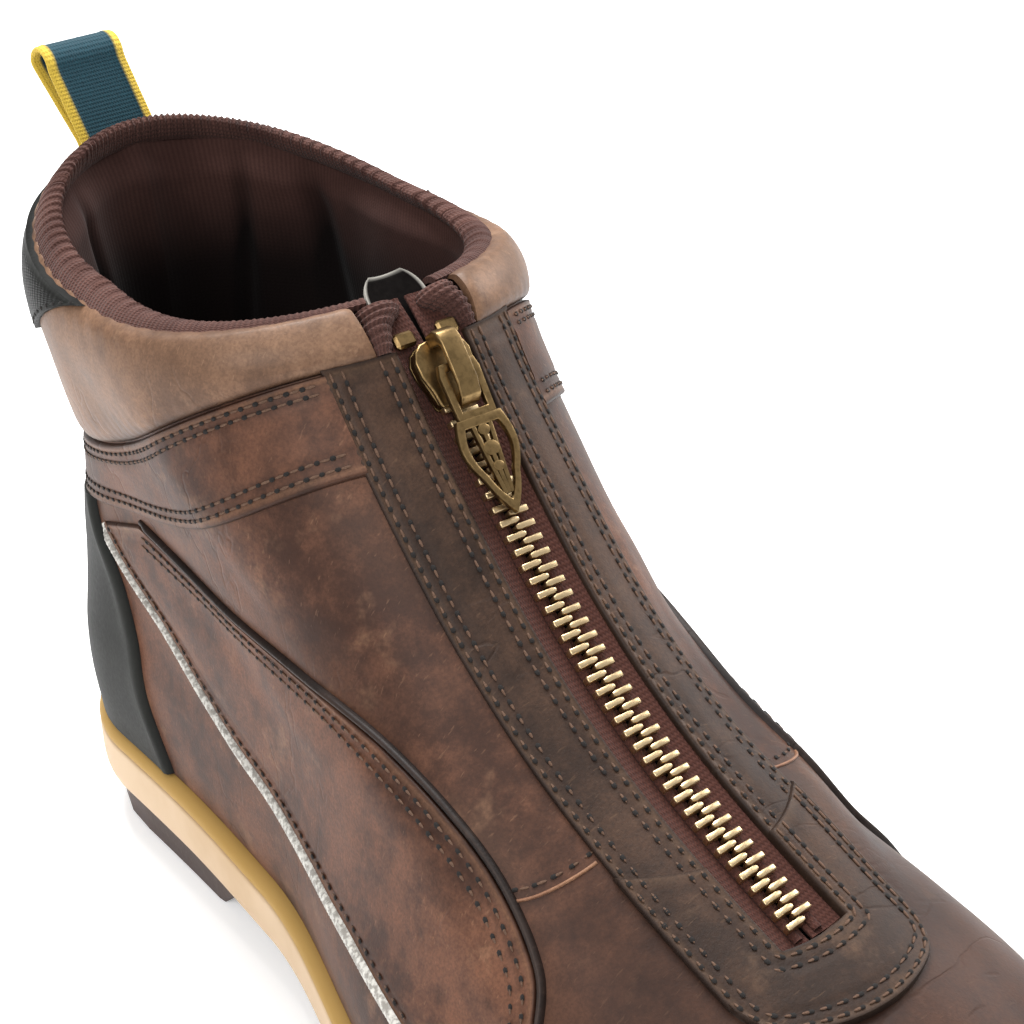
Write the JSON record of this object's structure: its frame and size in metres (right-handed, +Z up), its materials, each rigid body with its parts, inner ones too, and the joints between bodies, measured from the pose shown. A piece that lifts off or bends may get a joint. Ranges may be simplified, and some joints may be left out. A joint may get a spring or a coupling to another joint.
{
  "type": "zip paddock boot",
  "caption": "Ankle-high leather riding boot with a front zip, padded rolled collar, pull loop, tan foam midsole and low rubber heel.",
  "frame": {"origin": "on the floor, in the middle of the heel's tread, where the heel rests", "axes": "toe along -Y, heel along +Y, +X to the inner side of the right foot, +Z up"},
  "size_m": [0.1104, 0.3118, 0.1861],
  "materials": {
    "brown_leather": "oiled nubuck, matte",
    "dark_leather": "dark oiled nubuck, matte",
    "black_leather": "smooth, satin",
    "black_rubber": "moulded, satin",
    "tan_foam": "moulded, matte",
    "dark_rubber": "moulded, matte",
    "footbed_textile": "brushed textile",
    "reflective_cord": "coated braid",
    "zip_tape": "woven tape",
    "pale_brass": "polished",
    "old_brass": "antiqued",
    "teal_loop_tape": "woven tape"
  },
  "bodies": {
    "boot": {"upper": "brown_leather", "midsole": "tan_foam", "outsole": "dark_rubber", "insole": "footbed_textile", "ankle_band": "dark_leather", "heel_counter": "black_rubber", "collar_tab": "black_leather", "edge_cord_outer": "dark_leather", "edge_cord_inner": "dark_leather", "reflective_cord_outer": "reflective_cord", "reflective_cord_inner": "reflective_cord", "side_panel_outer": "brown_leather", "side_panel_inner": "brown_leather", "toe_cap": "brown_leather", "placket_outer": "dark_leather", "placket_inner": "dark_leather", "placket_cap": "dark_leather", "zip_tape_outer": "zip_tape", "zip_tape_inner": "zip_tape", "zip_teeth_outer": "pale_brass", "zip_teeth_inner": "pale_brass", "zip_flap": "black_leather", "zip_stop_outer": "old_brass", "zip_stop_inner": "old_brass", "zip_slider": "old_brass", "pull_loop": "teal_loop_tape"},
    "pull": {"zip_pull": "old_brass"}
  },
  "joints": [
    {"name": "pull_hinge", "type": "hinge", "parent": "boot", "child": "pull", "pos_m": [0.00261, -0.09276, 0.15158], "axis": [-0.9997, 0.015, 0.0199], "range_deg": [0, 150]}
  ]
}
